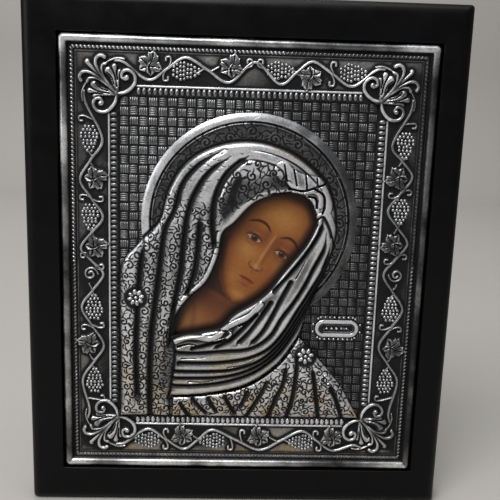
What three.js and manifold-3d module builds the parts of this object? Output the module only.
// Oklad icon cover: an embossed silver cover over a painted panel, set in a black lacquered board.
// Millimetres. X runs right, Y away from the viewer, Z up. The origin is the middle of the board's foot.
import * as THREE from 'three';
import Module from 'manifold-3d';
import { mergeVertices } from 'three/addons/utils/BufferGeometryUtils.js';

// Board
const boardWidth = 235.5;
const boardHeight = 284;
const boardThickness = 22;
const boardCornerRadius = 2;
const bevelWidth = 6;
const bevelDepth = 4.9;
const backEase = 0.8;
const plateShift = 1.35;
const recessGap = 0.9;

// Cover
const coverWidth = 200;
const coverHeight = 241.7;
const coverDrop = 3.4;
const sheetThickness = 0.6;
const sideFlangeDepth = 4;
const fitClearance = 0.3;
const glueLine = 0.1;
const overrun = 2;

// Border mouldings: each place is measured inward from the cover's outer edge
const rollRadius = 2.3;
const rollLift = 0.6;
const channelLevel = 0.3;
const cordCentre = 6.6;
const cordRadius = 1;
const bandStart = 8.6;
const bandEnd = 24.8;
const bandLevel = 0.5;
const lineCentre = 25.9;
const lineRadius = 0.7;
const gadroonCentre = 28.5;
const gadroonRadius = 1.6;
const borderWidth = 31.3;

// Vine on the border band
const vineLift = 1;
const vineSwing = 5.6;
const vineStemWidth = 1.6;
const leafRadius = 6.2;
const curlRadius = 3.4;
const motifShift = 1.4;
const bunchLength = 13;
const bunchSlimShare = 0.75;
const scrollRadius = 5.4;
const scrollLift = 1.6;
const cornerLeafLength = 9;
const cornerLeafWidth = 4.6;

// Layers behind the cover
const paintedThickness = 0.8;
const panelThickness = 3.6;
const liningThickness = 0.5;
const liningMargin = 4;

// Relief of the figure
const figureLift = 1.6;
const hoodHeight = 8.2;
const fallHeight = 5;
const robeHeight = 4.4;
const reliefShoulder = 9;
const lipWidth = 4;
const lipDrop = 2.6;
const foldDepth = 1.7;
const foldWidth = 2.3;
const wallWidth = 0.8;
const reliefStep = 2.6;
const reliefTolerance = 0.12;
const supportLap = 3;
const fillerInset = 5;
const fillerLip = 1.6;

// Halo
const haloRadiusShare = 0.859;
const haloInnerShare = 0.61;
const haloRimWidth = 5;
const haloRimHeight = 1.6;
const haloBandHeight = 0.7;

// Plaque and rosettes
const plaqueLength = 25;
const plaqueHeight = 10.3;
const plaqueThickness = 1.6;
const plaqueRim = 1.8;
const plaqueField = 0.8;
const rosetteRadius = 5.2;
const rosetteThickness = 1.4;
const rosetteCentreRadius = 1.4;

// Cover pins
const pinHeadRadius = 1.2;
const pinHeadThickness = 0.5;
const pinShankRadius = 0.6;
const pinLength = 6;

// Wall hanger
const hangerDrop = 26;
const strapWidth = 12;
const strapLength = 31;
const strapThickness = 1;
const strapCorner = 2;
const eyeRadius = 2.4;
const ringWire = 1;
const ringClearance = 0.25;
const ringBar = 7.5;
const ringCorner = 2;
const ringBow = 11;
const screwShankRadius = 1.4;
const screwHeadRadius = 2.6;
const screwHeadHeight = 1.4;
const screwLength = 11;
const screwPitch = 8.5;
const upperScrewDrop = 17.5;

// Sizes that follow from the ones above
const boardFront = -boardThickness / 2;
const boardBack = boardThickness / 2;
const plateCentre = boardHeight / 2;
const coverFace = boardFront + coverDrop;
const halfCoverWidth = coverWidth / 2;
const halfCoverHeight = coverHeight / 2;
const sightX = halfCoverWidth - borderWidth;
const sightZ = halfCoverHeight - borderWidth;
const paintedBack = sheetThickness + glueLine + paintedThickness;
const panelBack = paintedBack + glueLine + panelThickness;
const recessDepth = coverDrop + panelBack + glueLine;
const panelInset = sheetThickness + fitClearance;
const sightAspectShare = 0.767;
const haloStretch = sightZ * sightAspectShare / sightX;
const haloRadius = haloRadiusShare * sightX;
const haloInnerRadius = haloInnerShare * sightX;

// Outlines of the figure: shares of half the sight opening, across and up
const veilCrownShares = [
  [-0.993, -0.503], [-0.990, -0.045], [-0.844, 0.134], [-0.684, 0.268], [-0.611, 0.469],
  [-0.466, 0.637], [-0.218, 0.737], [0.073, 0.759], [0.364, 0.692], [0.597, 0.553],
  [0.681, 0.424], [0.718, 0.246], [0.670, 0.034], [0.549, -0.212], [0.459, -0.436],
];
const veilHemShares = [[0.459, -0.436], [0.291, -0.631], [0.029, -0.776], [-0.291, -0.838], [-0.565, -0.854]];
const veilFootShares = [[-0.590, -0.893], [-0.590, -0.993], [-0.993, -0.993]];
const faceBrowShares = [
  [-0.562, -0.456], [-0.524, -0.313], [-0.422, -0.201], [-0.291, -0.101], [-0.204, 0.067], [-0.175, 0.201],
  [-0.087, 0.268], [0.029, 0.369], [0.146, 0.424], [0.349, 0.451], [0.495, 0.402], [0.556, 0.268],
];
const faceThroatShares = [
  [0.556, 0.268], [0.480, 0.145], [0.342, 0.006], [0.211, -0.134], [0.073, -0.227], [-0.087, -0.307],
  [-0.189, -0.391], [-0.320, -0.420], [-0.562, -0.456],
];
const robeShoulderShares = [[0.463, -0.458], [0.626, -0.586], [0.830, -0.776], [0.985, -0.993]];
const robeFootShares = [[-0.565, -0.993], [-0.565, -0.867]];
const robeNeckShares = [[-0.565, -0.867], [-0.277, -0.851], [0.051, -0.788], [0.310, -0.639], [0.463, -0.458]];

// Valleys between the folds, in the same shares
const hoodFoldShares = [
  [[-0.189, 0.709], [-0.502, 0.497], [-0.560, 0.346], [-0.633, 0.223], [-0.693, -0.134], [-0.751, -0.670], [-0.748, -0.988]],
  [[-0.138, 0.670], [-0.301, 0.570], [-0.456, 0.332], [-0.486, 0.168], [-0.509, -0.045], [-0.582, -0.424], [-0.604, -0.893]],
  [[0, 0.676], [-0.140, 0.587], [-0.215, 0.495], [-0.256, 0.380], [-0.265, 0.246], [-0.247, 0.134]],
  [[-0.051, 0.558], [-0.105, 0.469], [-0.122, 0.391]],
  [[-0.796, 0.137], [-0.827, 0], [-0.847, -0.223], [-0.862, -0.447], [-0.862, -0.670], [-0.853, -0.849]],
  [[-0.364, 0.290], [-0.373, 0.134], [-0.400, -0.045], [-0.459, -0.179]],
];
const scarfFoldShares = [
  [[0.604, 0.302], [0.582, 0.223], [0.514, 0.126], [0.431, 0.034], [0.339, -0.056], [0.239, -0.145]],
  [[0.635, 0.223], [0.553, 0.003], [0.485, -0.112], [0.311, -0.324], [0.058, -0.529], [-0.189, -0.552], [-0.559, -0.563]],
  [[0.678, 0.156], [0.553, -0.123], [0.437, -0.275], [0.341, -0.406], [0.064, -0.587], [-0.349, -0.630], [-0.509, -0.630]],
  [[0.655, 0.011], [0.582, -0.117], [0.387, -0.391], [0.285, -0.509], [0.137, -0.610], [-0.291, -0.686], [-0.562, -0.688]],
  [[0.614, -0.067], [0.539, -0.208], [0.335, -0.487], [0.204, -0.603], [0.015, -0.686], [-0.378, -0.730], [-0.553, -0.733]],
  [[0.568, -0.168], [0.486, -0.308], [0.387, -0.458], [0.087, -0.692], [-0.146, -0.755], [-0.378, -0.779], [-0.565, -0.782]],
  [[-0.058, -0.507], [0.044, -0.424], [0.131, -0.328], [0.218, -0.223]],
  [[0.044, -0.514], [0.146, -0.429], [0.224, -0.324], [0.306, -0.190], [0.370, -0.089]],
  [[-0.247, -0.534], [-0.116, -0.480], [0, -0.395], [0.102, -0.302]],
];
const robeFoldShares = [
  [[0.457, -0.547], [0.447, -0.715], [0.426, -0.860], [0.384, -0.989]],
  [[0.582, -0.654], [0.611, -0.782], [0.649, -0.983]],
  [[0.728, -0.766], [0.790, -0.860], [0.843, -0.983]],
  [[0.370, -0.637], [0.344, -0.766], [0.291, -0.860], [0.229, -0.989]],
  [[0.224, -0.734], [0.156, -0.845], [0.052, -0.983]],
  [[0.063, -0.811], [0, -0.916]],
  [[-0.146, -0.841], [-0.052, -0.965]],
  [[-0.416, -0.864], [-0.291, -0.965]],
];
const haloCentreShare = [0.029, 0.268];
const plaqueCentreShare = [0.771, -0.399];
const shoulderStarShare = [-0.865, -0.212];
const sleeveStarShare = [0.520, -0.572];
const headCentreShare = [0.05, 0.06];
const headSpreadShare = [0.75, 0.75];

// Vine stations: share of half a side's length, what grows there, and 1 where it grows outward from the stem
const topStations = [
  [-0.52, 'leaf', 1], [-0.33, 'grapes', -1], [-0.11, 'leaf', 1], [0.145, 'grapes', 1], [0.31, 'leaf', -1], [0.53, 'grapes', 1],
];
const bottomStations = [
  [-0.53, 'grapes', 1], [-0.32, 'leaf', -1], [-0.156, 'grapes', 1], [0.1, 'leaf', -1], [0.37, 'grapes', 1],
  [0.536, 'leaf', -1],
];
const sideStations = [
  [-0.57, 'grapes', -1], [-0.395, 'leaf', 1], [-0.225, 'grapes', -1], [-0.05, 'curl', 1], [0.1, 'leaf', -1],
  [0.235, 'grapes', 1], [0.405, 'leaf', -1], [0.57, 'grapes', 1],
];

const wasm = await Module();
wasm.setup();

// A three.js geometry as a solid that can be joined and cut
function solidOf(geometry) {
  const bare = geometry.clone();
  for (const name of Object.keys(bare.attributes)) if (name !== 'position') bare.deleteAttribute(name);
  const merged = mergeVertices(bare);
  const vertProperties = Float32Array.from(merged.attributes.position.array);
  const triVerts = Uint32Array.from(merged.index.array);
  return new wasm.Manifold(new wasm.Mesh({ numProp: 3, vertProperties, triVerts }));
}

function geometryOf(solid) {
  const mesh = solid.getMesh();
  const geometry = new THREE.BufferGeometry();
  geometry.setAttribute('position', new THREE.BufferAttribute(Float32Array.from(mesh.vertProperties), 3));
  geometry.setIndex(Array.from(mesh.triVerts));
  geometry.computeVertexNormals();
  return geometry;
}

function indexedGeometry(points, faces) {
  const geometry = new THREE.BufferGeometry();
  geometry.setAttribute('position', new THREE.Float32BufferAttribute(points.flat(), 3));
  geometry.setIndex(faces.flat());
  geometry.computeVertexNormals();
  return geometry;
}

// A straight-walled block over a flat outline, from a low level to a high one
function block(outline, low, high, holes = []) {
  const rim = signedArea(outline) > 0 ? outline : [...outline].reverse();
  const shape = new THREE.Shape(rim.map(([x, y]) => new THREE.Vector2(x, y)));
  shape.holes = holes.map((hole) => new THREE.Path(hole.map(([x, y]) => new THREE.Vector2(x, y))));
  const geometry = new THREE.ExtrudeGeometry(shape, { depth: high - low, bevelEnabled: false });
  return geometry.translate(0, 0, low);
}

function rectangle(halfWidth, halfHeight, radius = 0, steps = 4) {
  if (radius === 0) {
    return [[-halfWidth, -halfHeight], [halfWidth, -halfHeight], [halfWidth, halfHeight], [-halfWidth, halfHeight]];
  }
  const corners = [[1, 1], [-1, 1], [-1, -1], [1, -1]];
  return corners.flatMap(([sx, sy], corner) => Array.from({ length: steps + 1 }, (_, step) => {
    const angle = (corner + step / steps) * Math.PI / 2;
    return [
      sx * (halfWidth - radius) + radius * Math.cos(angle),
      sy * (halfHeight - radius) + radius * Math.sin(angle),
    ];
  }));
}

// Rings of equal point counts joined into one closed skin, capped at both ends
function loft(rings) {
  const count = rings[0].length;
  const points = rings.flat();
  const faces = [];
  for (let ring = 0; ring + 1 < rings.length; ring += 1) {
    for (let i = 0; i < count; i += 1) {
      const a = ring * count + i;
      const b = ring * count + (i + 1) % count;
      faces.push([a, b, b + count], [a, b + count, a + count]);
    }
  }
  for (let i = 1; i + 1 < count; i += 1) {
    const last = (rings.length - 1) * count;
    faces.push([0, i + 1, i], [last, last + i, last + i + 1]);
  }
  return indexedGeometry(points, faces);
}

// Outline and fold curves of the figure
const onSight = ([shareX, shareZ]) => [shareX * sightX, shareZ * sightZ];

function spline(shares, pieces) {
  const knots = shares.map(onSight).map(([x, y]) => new THREE.Vector2(x, y));
  return new THREE.SplineCurve(knots).getPoints(pieces).map((point) => [point.x, point.y]);
}

const veilOutline = [
  ...spline(veilCrownShares, 46), ...spline(veilHemShares, 12).slice(1), ...veilFootShares.map(onSight),
];
const faceOutline = [...spline(faceBrowShares, 26), ...spline(faceThroatShares, 18).slice(1, -1)];
const robeOutline = [
  ...spline(robeShoulderShares, 10).reverse(), ...spline(robeNeckShares, 12).reverse().slice(1),
  onSight(robeFootShares[0]),
].reverse();
const hoodFolds = hoodFoldShares.map((fold) => spline(fold, 16));
const scarfFolds = scarfFoldShares.map((fold) => spline(fold, 16));
const robeFolds = robeFoldShares.map((fold) => spline(fold, 6));

function signedArea(outline) {
  return outline.reduce((sum, [x, y], i) => {
    const [nextX, nextY] = outline[(i + 1) % outline.length];
    return sum + (x * nextY - nextX * y) / 2;
  }, 0);
}

// The outline moved sideways: a positive distance shrinks it, and points that a sharp corner folds over go
function inset(outline, distance) {
  const turn = Math.sign(signedArea(outline));
  const moved = outline.map(([x, y], i) => {
    const [beforeX, beforeY] = outline[(i + outline.length - 1) % outline.length];
    const [afterX, afterY] = outline[(i + 1) % outline.length];
    const entry = new THREE.Vector2(x - beforeX, y - beforeY).normalize();
    const leave = new THREE.Vector2(afterX - x, afterY - y).normalize();
    const normal = new THREE.Vector2(-(entry.y + leave.y), entry.x + leave.x).multiplyScalar(turn).normalize();
    const miter = Math.max(Math.sqrt((1 + entry.dot(leave)) / 2), 0.4);
    return [x + normal.x * distance / miter, y + normal.y * distance / miter];
  });
  return untangled(moved.filter(([x, y]) => distanceTo(outline, x, y, true) > Math.abs(distance) * 0.97));
}

// The place where two edges cross, or null
function crossing([ax, ay], [bx, by], [cx, cy], [dx, dy]) {
  const spread = (bx - ax) * (dy - cy) - (by - ay) * (dx - cx);
  if (spread === 0) return null;
  const along = ((cx - ax) * (dy - cy) - (cy - ay) * (dx - cx)) / spread;
  const other = ((cx - ax) * (by - ay) - (cy - ay) * (bx - ax)) / spread;
  const meets = along > 0 && along < 1 && other > 0 && other < 1;
  return meets ? [ax + along * (bx - ax), ay + along * (by - ay)] : null;
}

// Small loops that a moved outline makes at a tight corner are cut off where its edges cross
function untangled(outline) {
  const count = outline.length;
  for (let i = 0; i < count; i += 1) {
    for (let step = 2; step < count / 2; step += 1) {
      const j = (i + step) % count;
      const meet = crossing(outline[i], outline[(i + 1) % count], outline[j], outline[(j + 1) % count]);
      if (meet) {
        const kept = outline.filter((_, k) => (k - i - 1 + count) % count >= step);
        kept.splice(outline.slice(0, i + 1).filter((point) => kept.includes(point)).length, 0, meet);
        return untangled(kept);
      }
    }
  }
  return outline;
}

function distanceTo(line, x, y, closed = false) {
  let nearest = Infinity;
  const last = closed ? line.length : line.length - 1;
  for (let i = 0; i < last; i += 1) {
    const [ax, ay] = line[i];
    const [bx, by] = line[(i + 1) % line.length];
    const run = (bx - ax) ** 2 + (by - ay) ** 2;
    const along = Math.min(Math.max(((x - ax) * (bx - ax) + (y - ay) * (by - ay)) / run, 0), 1);
    nearest = Math.min(nearest, Math.hypot(x - ax - along * (bx - ax), y - ay - along * (by - ay)));
  }
  return nearest;
}

// How far a place lies inside a closed outline: negative outside it
function depthInside(outline, x, y) {
  let crossings = 0;
  outline.forEach(([ax, ay], i) => {
    const [bx, by] = outline[(i + 1) % outline.length];
    if ((ay > y) !== (by > y) && x < ax + (bx - ax) * (y - ay) / (by - ay)) crossings += 1;
  });
  return distanceTo(outline, x, y, true) * (crossings % 2 ? 1 : -1);
}

const bell = (distance, width) => Math.exp(-((distance / width) ** 2));

// Rounded rise from the edge of a raised form up to its crown
function shoulder(depth, crown) {
  const rise = THREE.MathUtils.clamp(depth / reliefShoulder, 0, 1);
  return figureLift + (crown - figureLift) * Math.sqrt(rise * (2 - rise));
}

const shoulderStar = onSight(shoulderStarShare);
const sleeveStar = onSight(sleeveStarShare);
const shoulderSeat = figureLift + (fallHeight - figureLift) / 2;
const sleeveSeat = figureLift + (robeHeight - figureLift) / 2;
const seatRadius = rosetteRadius + 2 * reliefStep;
const near = ([placeX, placeY], reach, x, y) => Math.hypot(x - placeX, y - placeY) < reach;

// Height of the veil without its folds: a margin moves its rise and its lip away from the edges
function veilCrown(x, y, margin = 0) {
  const [headX, headY] = onSight(headCentreShare);
  const across = (x - headX) / (headSpreadShare[0] * sightX);
  const up = (y - headY) / (headSpreadShare[1] * sightZ);
  const crown = fallHeight + (hoodHeight - fallHeight) * Math.exp(-(across ** 2) - up ** 2);
  const lip = THREE.MathUtils.clamp(1 + (depthInside(faceOutline, x, y) + margin) / lipWidth, 0, 1);
  return shoulder(depthInside(veilOutline, x, y) - margin, crown) - lipDrop * lip ** 2;
}

function veilFace(x, y) {
  if (near(shoulderStar, seatRadius, x, y)) return shoulderSeat;
  const valleys = [...hoodFolds, ...scarfFolds].map((fold) => bell(distanceTo(fold, x, y), foldWidth));
  return Math.max(veilCrown(x, y) - foldDepth * Math.max(...valleys), sheetThickness);
}

const robeCrown = (x, y, margin = 0) => shoulder(depthInside(robeOutline, x, y) - margin, robeHeight);

function robeFace(x, y) {
  if (near(sleeveStar, seatRadius, x, y)) return sleeveSeat;
  const valleys = robeFolds.map((fold) => bell(distanceTo(fold, x, y), foldWidth));
  return Math.max(robeCrown(x, y) - foldDepth * Math.max(...valleys), sheetThickness);
}

// The hollow behind a raised form has a grid twice as coarse, below the deepest folds and the rosette seat
const hollowStep = 2 * reliefStep;

function hollowUnder(crown, seat, star) {
  return (x, y) => {
    const underSeat = near(star, seatRadius + hollowStep * Math.SQRT2, x, y);
    return Math.min(crown(x, y, reliefStep) - foldDepth, underSeat ? seat : Infinity) - sheetThickness;
  };
}

// A solid whose top follows a height function on a square grid over an outline
function reliefBlock(outline, step, low, height) {
  const xs = outline.map(([x]) => x);
  const ys = outline.map(([, y]) => y);
  const firstColumn = Math.floor(Math.min(...xs) / step) - 1;
  const firstRow = Math.floor(Math.min(...ys) / step) - 1;
  const left = firstColumn * step;
  const bottom = firstRow * step;
  const columns = Math.ceil((Math.max(...xs) + step - left) / step);
  const rows = Math.ceil((Math.max(...ys) + step - bottom) / step);
  const points = [];
  const faces = [];
  for (let row = 0; row <= rows; row += 1) {
    for (let column = 0; column <= columns; column += 1) {
      const x = left + column * step;
      const y = bottom + row * step;
      points.push([x, y, height(x, y)]);
    }
  }
  const at = (column, row) => row * (columns + 1) + column;
  for (let row = 0; row < rows; row += 1) {
    for (let column = 0; column < columns; column += 1) {
      const [a, b] = [at(column, row), at(column + 1, row)];
      const [c, d] = [at(column + 1, row + 1), at(column, row + 1)];
      if ((firstColumn + column + firstRow + row) % 2) faces.push([a, b, c], [a, c, d]);
      else faces.push([a, b, d], [b, c, d]);
    }
  }
  const edge = [];
  for (let column = 0; column < columns; column += 1) edge.push(at(column, 0));
  for (let row = 0; row < rows; row += 1) edge.push(at(columns, row));
  for (let column = columns; column > 0; column -= 1) edge.push(at(column, rows));
  for (let row = rows; row > 0; row -= 1) edge.push(at(0, row));
  const foot = points.length;
  for (const top of edge) points.push([points[top][0], points[top][1], low]);
  const middle = points.length;
  points.push([left + columns * step / 2, bottom + rows * step / 2, low]);
  edge.forEach((top, i) => {
    const next = (i + 1) % edge.length;
    faces.push([top, foot + i, foot + next], [top, foot + next, edge[next]], [middle, foot + next, foot + i]);
  });
  return solidOf(indexedGeometry(points, faces));
}

const reliefCeiling = hoodHeight + overrun;

function trimmedRelief(outline, opening, step, low, height) {
  const body = reliefBlock(outline, step, low - overrun, height).intersect(solidOf(block(outline, low, reliefCeiling)));
  return opening ? body.subtract(solidOf(block(opening, low - overrun, reliefCeiling + overrun))) : body;
}

// An embossed shell, open behind and at any opening through it
function reliefShell(outline, opening, face, hollow) {
  const skin = trimmedRelief(outline, opening, reliefStep, 0, face);
  const innerOpening = opening && inset(opening, -wallWidth);
  const innerOutline = inset(outline, wallWidth);
  const hollowed = skin.subtract(trimmedRelief(innerOutline, innerOpening, hollowStep, -overrun, hollow));
  return geometryOf(hollowed.simplify(reliefTolerance));
}

const veilHollow = hollowUnder(veilCrown, shoulderSeat, shoulderStar);
const robeHollow = hollowUnder(robeCrown, sleeveSeat, sleeveStar);

// Stiff pad that fills the hollow, through the hole in the ground sheet
function filler(outline, opening, hollow) {
  const padOpening = opening && inset(opening, -fillerLip);
  const top = (x, y) => hollow(x, y) - fitClearance;
  return geometryOf(trimmedRelief(inset(outline, fillerInset), padOpening, hollowStep, -sheetThickness, top));
}

function groundSheet() {
  const outline = rectangle(sightX - fitClearance, sightZ - fitClearance, cornerLeafWidth);
  const sheet = solidOf(block(outline, -sheetThickness, 0));
  const veilHole = solidOf(block(inset(veilOutline, supportLap), -overrun, overrun));
  const robeHole = solidOf(block(inset(robeOutline, supportLap), -overrun, overrun));
  return geometryOf(sheet.subtract(veilHole).subtract(robeHole));
}

// Halo: a turned ring with a raised rim, cut off where the veil lies over it
function haloRing() {
  const rimStart = haloRadius - haloRimWidth;
  const rimEase = haloRimHeight - haloBandHeight;
  const profile = [
    [haloInnerRadius, glueLine], [haloRadius, glueLine], [haloRadius, haloBandHeight],
    [haloRadius - rimEase, haloRimHeight], [rimStart + rimEase, haloRimHeight],
    [rimStart, haloBandHeight], [haloInnerRadius, haloBandHeight], [haloInnerRadius, glueLine],
  ];
  const ring = new THREE.LatheGeometry(profile.map(([r, e]) => new THREE.Vector2(r, e)), 48);
  const [centreX, centreY] = onSight(haloCentreShare);
  ring.rotateX(Math.PI / 2).scale(1, haloStretch, 1).translate(centreX, centreY, 0);
  const under = solidOf(block(inset(veilOutline, -fitClearance), -overrun, reliefCeiling));
  return geometryOf(solidOf(ring).subtract(under));
}

// Border: one skin of mouldings carried round the rectangle with mitred corners
function arc(centre, level, radius, steps) {
  return Array.from({ length: steps + 1 }, (_, i) => {
    const angle = Math.PI * (1 - i / steps);
    return [centre + radius * Math.cos(angle), level + radius * Math.sin(angle)];
  });
}

function borderSkin(depth) {
  const floor = (level) => Math.max(level - depth, -sheetThickness);
  return [
    [depth, -sideFlangeDepth],
    ...arc(rollRadius, rollLift, rollRadius - depth, 8),
    [2 * rollRadius - depth, floor(channelLevel)],
    [cordCentre - cordRadius, floor(channelLevel)],
    [cordCentre, channelLevel + cordRadius - depth],
    [cordCentre + cordRadius, floor(channelLevel)],
    [bandStart, floor(bandLevel)],
    [bandEnd, floor(bandLevel)],
    [lineCentre, bandLevel + lineRadius - depth],
    [lineCentre + lineRadius, floor(bandLevel)],
    ...arc(gadroonCentre, 0, gadroonRadius - depth, 4),
    [borderWidth, floor(0)],
  ];
}

function borderFrame() {
  const loop = [...borderSkin(0), ...borderSkin(sheetThickness).reverse()];
  const corners = [[-1, -1], [1, -1], [1, 1], [-1, 1]];
  const points = corners.flatMap(([sx, sy]) => loop.map(([d, e]) => [
    sx * (halfCoverWidth - d), sy * (halfCoverHeight - d), e,
  ]));
  const count = loop.length;
  const faces = [];
  for (let corner = 0; corner < corners.length; corner += 1) {
    const here = corner * count;
    const there = ((corner + 1) % corners.length) * count;
    for (let i = 0; i < count; i += 1) {
      const next = (i + 1) % count;
      faces.push([here + i, there + i, there + next], [here + i, there + next, here + next]);
    }
  }
  return solidOf(indexedGeometry(points, faces));
}

// A raised form on a flat foot that slopes from its outline up to one peak
function peaked(outline, low, peak) {
  const count = outline.length;
  const points = [...outline.map(([x, y]) => [x, y, low]), [0, 0, peak], [0, 0, low]];
  const faces = outline.flatMap((_, i) => {
    const next = (i + 1) % count;
    return [[i, next, count], [next, i, count + 1]];
  });
  return indexedGeometry(points, faces);
}

const footLevel = bandLevel - sheetThickness / 2;

function vineLeaf() {
  const lobes = 5;
  const outline = Array.from({ length: 3 * lobes }, (_, i) => {
    const reach = [1, 0.8, 0.45][i % 3];
    const angle = i * 2 * Math.PI / (3 * lobes);
    return [leafRadius * reach * Math.cos(angle), leafRadius * reach * Math.sin(angle)];
  });
  return peaked(outline, footLevel, bandLevel + vineLift);
}

// Bunch of grapes: one knobbly form that narrows towards its tip
function grapeBunch() {
  const knobs = 5;
  const outline = Array.from({ length: 2 * knobs + 1 }, (_, i) => {
    const angle = (i / knobs - 1) * Math.PI * 0.98;
    const reach = bunchLength / 2 * (0.75 - 0.25 * Math.cos(angle)) * (i % 2 ? 1 : 0.82);
    return [reach * Math.cos(angle), reach * bunchSlimShare * Math.sin(angle)];
  });
  return peaked(outline, footLevel, bandLevel + vineLift);
}

// Curled tendril, as a low ring round its end
function vineCurl() {
  const profile = [
    [0, footLevel], [curlRadius, footLevel], [curlRadius * 0.8, bandLevel + vineLift],
    [curlRadius * 0.45, bandLevel + vineLift * 0.3], [0, bandLevel + vineLift],
  ];
  return new THREE.LatheGeometry(profile.map(([r, e]) => new THREE.Vector2(r, e)), 8).rotateX(Math.PI / 2);
}

// Stem along one border side that swings away from what grows at each station
function vineStem(halfLength, stations) {
  const knots = stations.flatMap(([share, , side], i) => {
    const here = [share * halfLength, -side * vineSwing];
    if (i + 1 === stations.length) return [here];
    const [nextShare, , nextSide] = stations[i + 1];
    return [here, [(share + nextShare) / 2 * halfLength, side === nextSide ? here[1] / 4 : 0]];
  });
  const course = new THREE.SplineCurve(knots.map(([x, y]) => new THREE.Vector2(x, y)));
  const rings = course.getPoints(2 * (knots.length - 1)).map(({ x, y }) => [
    [x, y - vineStemWidth / 2, footLevel], [x, y + vineStemWidth / 2, footLevel], [x, y, bandLevel + vineLift],
  ]);
  return loft(rings);
}

// Vine of one border side: x runs along the side and y outward from the middle of the band
function vineRun(halfLength, stations) {
  const grown = { leaf: vineLeaf, grapes: grapeBunch, curl: vineCurl };
  const motifs = stations.map(([share, kind, side]) => {
    const turn = kind === 'leaf' ? side * Math.PI / 2 : 0;
    return grown[kind]().rotateZ(turn).translate(share * halfLength, side * motifShift, 0);
  });
  return [vineStem(halfLength, stations), ...motifs].map(solidOf);
}

// Corner scrolls: two volutes and a fan of leaves, drawn for the upper right corner
function cornerScroll() {
  const ease = gadroonRadius + lineRadius;
  const volute = (x, y) => {
    const profile = [
      [0, 0], [scrollRadius, 0], [scrollRadius * 0.85, scrollLift + bandLevel],
      [scrollRadius * 0.45, scrollLift * 0.7], [0, scrollLift + bandLevel],
    ];
    const turned = new THREE.LatheGeometry(profile.map(([r, e]) => new THREE.Vector2(r, e)), 10);
    return turned.rotateX(Math.PI / 2).translate(x, y, 0);
  };
  const leaf = (angle, reach) => {
    const halfLength = cornerLeafLength * reach / 2;
    const outline = Array.from({ length: 8 }, (_, i) => {
      const turn = i * Math.PI / 4;
      return [halfLength * Math.cos(turn), cornerLeafWidth / 2 * Math.sin(turn)];
    });
    const shape = peaked(outline, 0, bandLevel + scrollLift);
    return shape.translate(halfLength, 0, 0).rotateZ(angle);
  };
  const [rootX, rootY] = [sightX + ease, sightZ + ease];
  const fan = [-0.16, 0.04, 0.25, 0.46, 0.66].map((turn, i) => leaf(turn * Math.PI, [0.9, 1.3, 1.5, 1.3, 0.9][i]));
  return [
    volute(sightX - scrollRadius * 0.6, sightZ + scrollRadius * 1.45),
    volute(sightX + scrollRadius * 1.45, sightZ - scrollRadius * 0.75),
    ...fan.map((shape) => shape.translate(rootX + scrollRadius * 0.6, rootY + scrollRadius * 0.6, 0)),
  ];
}

function borderCover() {
  const bandMiddle = (bandStart + bandEnd) / 2;
  const across = halfCoverWidth - bandMiddle;
  const up = halfCoverHeight - bandMiddle;
  const solids = [
    ...vineRun(halfCoverWidth, topStations).map((solid) => solid.translate([0, up, 0])),
    ...vineRun(halfCoverWidth, bottomStations).map((solid) => solid.scale([1, -1, 1]).translate([0, -up, 0])),
  ];
  for (const solid of vineRun(halfCoverHeight, sideStations)) {
    const upright = solid.rotate([0, 0, 90]).translate([-across, 0, 0]);
    solids.push(upright, upright.scale([-1, 1, 1]));
  }
  for (const quarter of cornerScroll().map(solidOf)) {
    for (const sx of [1, -1]) for (const sy of [1, -1]) solids.push(quarter.scale([sx, sy, 1]));
  }
  const foot = solidOf(block(rectangle(coverWidth, coverHeight), -overrun * 4, 0));
  let cover = borderFrame();
  cover = solids.map((solid) => solid.subtract(foot)).reduce((sum, solid) => sum.add(solid), cover);
  for (const { x, y, angle } of pinPlaces()) {
    const hole = new THREE.CylinderGeometry(pinShankRadius + fitClearance / 2, pinShankRadius + fitClearance / 2,
      overrun * 2, 6);
    hole.rotateZ(Math.PI / 2).rotateZ(angle).translate(x, y, -pinLevel);
    cover = cover.subtract(solidOf(hole));
  }
  return geometryOf(cover);
}

// Pins through the side flange into the panel, three to a side
const pinLevel = paintedBack + glueLine + panelThickness / 2 - pinShankRadius;
const pinShares = [-0.7, 0, 0.7];

function pinPlaces() {
  return pinShares.flatMap((share) => [
    { x: halfCoverWidth, y: share * halfCoverHeight, angle: 0 },
    { x: -halfCoverWidth, y: share * halfCoverHeight, angle: Math.PI },
    { x: share * halfCoverWidth, y: halfCoverHeight, angle: Math.PI / 2 },
    { x: share * halfCoverWidth, y: -halfCoverHeight, angle: -Math.PI / 2 },
  ]);
}

function coverPin() {
  const profile = [
    [0, -pinLength], [pinShankRadius, -pinLength + pinShankRadius], [pinShankRadius, 0], [pinHeadRadius, 0],
    [pinHeadRadius, pinHeadThickness / 2], [pinHeadRadius / 2, pinHeadThickness], [0, pinHeadThickness],
  ];
  const pin = new THREE.LatheGeometry(profile.map(([r, e]) => new THREE.Vector2(r, e)), 8);
  return geometryOf(solidOf(pin.rotateZ(-Math.PI / 2)));
}

function panelSheet(front, back) {
  return block(rectangle(halfCoverWidth - panelInset, halfCoverHeight - panelInset), -back, -front);
}

function iconPanel() {
  let panel = solidOf(panelSheet(paintedBack + glueLine, panelBack));
  for (const { x, y, angle } of pinPlaces()) {
    const reach = 2 * (pinLength + fitClearance);
    const hole = new THREE.CylinderGeometry(pinShankRadius + fitClearance / 2, pinShankRadius + fitClearance / 2,
      reach, 6);
    hole.rotateZ(Math.PI / 2).rotateZ(angle).translate(x, y, -pinLevel);
    panel = panel.subtract(solidOf(hole));
  }
  return geometryOf(panel);
}

// Plaque: a stadium with a raised rim round a plain sunk field, always inside the sight opening
const [plaqueShareX, plaqueZ] = onSight(plaqueCentreShare);
const plaqueX = Math.min(plaqueShareX, sightX - fitClearance - plaqueLength / 2);

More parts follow.
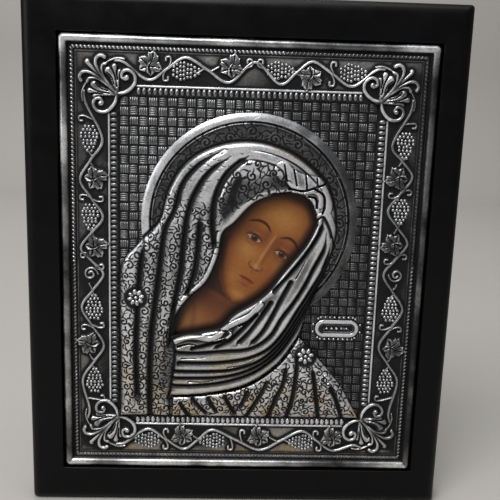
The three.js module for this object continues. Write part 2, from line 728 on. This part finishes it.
function stadium(length, height, steps = 8) {
  const radius = height / 2;
  const middle = length / 2 - radius;
  return [1, -1].flatMap((side) => Array.from({ length: steps + 1 }, (_, i) => {
    const angle = Math.PI * (i / steps - 1 / 2) + (side < 0 ? Math.PI : 0);
    return [side * middle + radius * Math.cos(angle), radius * Math.sin(angle)];
  }));
}

function namePlaque() {
  const ring = (margin, level) => stadium(plaqueLength - 2 * margin, plaqueHeight - 2 * margin)
    .map(([x, y]) => [x, y, level]);
  const ease = plaqueRim / 4;
  return loft([
    ring(0, glueLine), ring(0, plaqueThickness - ease), ring(ease, plaqueThickness),
    ring(plaqueRim - ease, plaqueThickness), ring(plaqueRim, plaqueField),
  ]);
}

// Rosette: eight petals with a creased middle line round a beaded centre
function rosette() {
  const petals = 8;
  const outline = Array.from({ length: petals * 3 }, (_, i) => {
    const reach = [1, 1, 0.5][i % 3];
    const angle = (i - 0.5) * 2 * Math.PI / (petals * 3);
    return [rosetteRadius * reach * Math.cos(angle), rosetteRadius * reach * Math.sin(angle)];
  });
  const petal = block(outline, 0, rosetteThickness / 2);
  const bead = new THREE.SphereGeometry(rosetteCentreRadius, 8, 4).translate(0, 0, rosetteThickness);
  const crown = peaked(outline.map(([x, y]) => [x * 0.9, y * 0.9]), rosetteThickness / 4, rosetteThickness * 1.3);
  return geometryOf(solidOf(petal).add(solidOf(crown)).add(solidOf(bead)));
}

// Board: rounded front edge, eased back edge, and a recess that holds the plate
function backingBoard() {
  const ring = (margin, y) => rectangle(boardWidth / 2 - margin, boardHeight / 2 - margin, boardCornerRadius)
    .map(([x, z]) => [x, y, z + plateCentre]);
  const bevelSteps = 5;
  const bevel = Array.from({ length: bevelSteps + 1 }, (_, i) => {
    const angle = (i / bevelSteps) * Math.PI / 2;
    return ring(bevelWidth * (1 - Math.cos(angle)), boardFront + bevelDepth * (1 - Math.sin(angle)));
  });
  let board = solidOf(loft([ring(backEase, boardBack), ring(0, boardBack - backEase), ...bevel]));
  const recess = block(
    rectangle(halfCoverWidth + recessGap, halfCoverHeight + recessGap, recessGap), boardFront - overrun,
    boardFront + recessDepth,
  );
  recess.rotateX(Math.PI / 2).scale(1, -1, 1).translate(plateShift, 0, plateCentre);
  board = board.subtract(solidOf(flipped(recess)));
  for (const z of screwLevels) {
    const hole = new THREE.CylinderGeometry(screwShankRadius + fitClearance, screwShankRadius + fitClearance,
      2 * screwLength, 12);
    board = board.subtract(solidOf(hole.translate(0, boardBack, z)));
  }
  return geometryOf(board);
}

// A mirrored geometry has its faces turned the right way out again
function flipped(geometry) {
  const turned = geometry.index ? geometry.toNonIndexed() : geometry.clone();
  const array = turned.attributes.position.array;
  for (let i = 0; i < array.length; i += 9) {
    for (let axis = 0; axis < 3; axis += 1) {
      [array[i + 3 + axis], array[i + 6 + axis]] = [array[i + 6 + axis], array[i + 3 + axis]];
    }
  }
  return turned;
}

// Hanger on the back: a strap with a rolled eye, two screws, and a ring that swings in the eye
const liningFace = boardBack + glueLine + liningThickness;
const strapBack = liningFace + glueLine;
const eyeCentre = strapBack + eyeRadius;
const eyeLevel = boardHeight - hangerDrop;
const screwLevels = [eyeLevel - upperScrewDrop, eyeLevel - upperScrewDrop - screwPitch];

function alongDepth(geometry) {
  return geometry.rotateX(-Math.PI / 2);
}

function backLining() {
  const outline = rectangle(boardWidth / 2 - liningMargin, boardHeight / 2 - liningMargin, boardCornerRadius);
  const sheet = alongDepth(block(outline, boardBack + glueLine, liningFace)).translate(0, 0, plateCentre);
  let lining = solidOf(sheet);
  for (const z of screwLevels) {
    const hole = new THREE.CylinderGeometry(screwShankRadius + fitClearance, screwShankRadius + fitClearance,
      2 * overrun, 12);
    lining = lining.subtract(solidOf(hole.translate(0, boardBack, z)));
  }
  return geometryOf(lining);
}

function hangerPlate() {
  const outline = rectangle(strapWidth / 2, strapLength / 2, strapCorner);
  const strap = alongDepth(block(outline, strapBack, strapBack + strapThickness));
  strap.translate(0, 0, eyeLevel - strapLength / 2 + eyeRadius / 2);
  const eye = new THREE.CylinderGeometry(eyeRadius, eyeRadius, strapWidth, 20);
  eye.rotateZ(Math.PI / 2).translate(0, eyeCentre, eyeLevel);
  const bore = new THREE.CylinderGeometry(ringWire + ringClearance, ringWire + ringClearance,
    strapWidth + 2 * overrun, 20);
  bore.rotateZ(Math.PI / 2).translate(0, eyeCentre, eyeLevel);
  let plate = solidOf(strap).add(solidOf(eye)).subtract(solidOf(bore));
  for (const z of screwLevels) {
    const hole = new THREE.CylinderGeometry(screwShankRadius + fitClearance, screwShankRadius + fitClearance,
      4 * overrun, 12);
    plate = plate.subtract(solidOf(hole.translate(0, strapBack, z)));
  }
  return geometryOf(plate);
}

function hangerScrew() {
  const profile = [
    [0, -screwLength], [screwShankRadius, -screwLength + screwShankRadius], [screwShankRadius, 0],
    [screwHeadRadius, 0], [screwHeadRadius * 0.9, screwHeadHeight * 0.6], [screwHeadRadius * 0.5, screwHeadHeight],
    [0, screwHeadHeight],
  ];
  return geometryOf(solidOf(new THREE.LatheGeometry(profile.map(([r, e]) => new THREE.Vector2(r, e)), 14)));
}

// D ring: a straight bar through the eye, two tight corners and a deep bow
function ringPath() {
  const side = ringBar + ringCorner;
  const corner = (centreX, from) => Array.from({ length: 3 }, (_, i) => {
    const angle = from - i * Math.PI / 4;
    return [centreX + ringCorner * Math.cos(angle), -ringCorner + ringCorner * Math.sin(angle)];
  });
  const bow = Array.from({ length: 11 }, (_, i) => {
    const angle = -(i + 1) * Math.PI / 12;
    return [side * Math.cos(angle), -ringCorner + ringBow * Math.sin(angle)];
  });
  return [...corner(ringBar, Math.PI / 2), ...bow, ...corner(-ringBar, Math.PI)];
}

function hangerRing() {
  const path = ringPath();
  const sides = 8;
  const points = path.flatMap(([x, z], i) => {
    const [beforeX, beforeZ] = path[(i + path.length - 1) % path.length];
    const [afterX, afterZ] = path[(i + 1) % path.length];
    const normal = new THREE.Vector2(-(afterZ - beforeZ), afterX - beforeX).normalize();
    return Array.from({ length: sides }, (_, j) => {
      const angle = j * 2 * Math.PI / sides;
      const out = ringWire * Math.cos(angle);
      return [x + normal.x * out, ringWire * Math.sin(angle), z + normal.y * out];
    });
  });
  const faces = path.flatMap((_, i) => Array.from({ length: sides }, (__, j) => {
    const here = i * sides;
    const there = ((i + 1) % path.length) * sides;
    const next = (j + 1) % sides;
    return [here + j, there + next, here + next, here + j, there + j, there + next];
  }));
  return geometryOf(solidOf(indexedGeometry(points, faces)));
}

// Finishes
const silver = () => new THREE.MeshStandardMaterial({ color: 0xb9b7b0, roughness: 0.32, metalness: 1 });
const finishes = {
  lacquer: () => new THREE.MeshStandardMaterial({ color: 0x121214, roughness: 0.35, metalness: 0 }),
  wood: () => new THREE.MeshStandardMaterial({ color: 0xb08a5c, roughness: 0.7, metalness: 0 }),
  paint: () => new THREE.MeshStandardMaterial({ color: 0xb97a45, roughness: 0.5, metalness: 0 }),
  filler: () => new THREE.MeshStandardMaterial({ color: 0xd8d0bc, roughness: 0.9, metalness: 0 }),
  lining: () => new THREE.MeshStandardMaterial({ color: 0x1c1a1a, roughness: 0.95, metalness: 0 }),
  brass: () => new THREE.MeshStandardMaterial({ color: 0xb8923f, roughness: 0.35, metalness: 1 }),
  silver,
};

function place(group, name, geometry, finish, x = 0, y = 0, z = 0) {
  const mesh = new THREE.Mesh(geometry, finishes[finish]());
  mesh.name = name;
  mesh.position.set(x, y, z);
  group.add(mesh);
  return mesh;
}

// The plate lies in its own frame: across, up, and out towards the viewer
const plate = new THREE.Group();
plate.rotation.x = Math.PI / 2;
plate.position.set(plateShift, coverFace, plateCentre);
place(plate, 'icon_panel', iconPanel(), 'wood');
place(plate, 'painted_icon', panelSheet(sheetThickness + glueLine, paintedBack), 'paint');
place(plate, 'border_cover', borderCover(), 'silver');
place(plate, 'ground_sheet', groundSheet(), 'silver');
place(plate, 'halo_ring', haloRing(), 'silver');
place(plate, 'veil_cover', reliefShell(veilOutline, faceOutline, veilFace, veilHollow), 'silver', 0, 0, glueLine);
place(plate, 'robe_cover', reliefShell(robeOutline, null, robeFace, robeHollow), 'silver', 0, 0, glueLine);
place(plate, 'veil_filler', filler(veilOutline, faceOutline, veilHollow), 'filler');
place(plate, 'robe_filler', filler(robeOutline, null, robeHollow), 'filler');
place(plate, 'name_plaque', namePlaque(), 'silver', plaqueX, plaqueZ);
place(plate, 'shoulder_star', rosette(), 'silver', ...shoulderStar, shoulderSeat + glueLine);
place(plate, 'sleeve_star', rosette(), 'silver', ...sleeveStar, sleeveSeat + glueLine);
pinPlaces().forEach(({ x, y, angle }, i) => {
  const pin = place(plate, `cover_pin_${String(i + 1).padStart(2, '0')}`, coverPin(), 'brass');
  pin.position.set(x + glueLine * Math.cos(angle), y + glueLine * Math.sin(angle), -pinLevel);
  pin.rotation.z = angle;
});

const model = new THREE.Group();
model.add(plate);
place(model, 'backing_board', backingBoard(), 'lacquer');
place(model, 'back_lining', backLining(), 'lining');
place(model, 'hanger_plate', hangerPlate(), 'brass');
place(model, 'hanger_ring', hangerRing(), 'brass', 0, eyeCentre, eyeLevel);
screwLevels.forEach((z, i) => {
  place(model, `hanger_screw_${i + 1}`, hangerScrew(), 'brass', 0, strapBack + strapThickness + glueLine, z);
});

export default model;
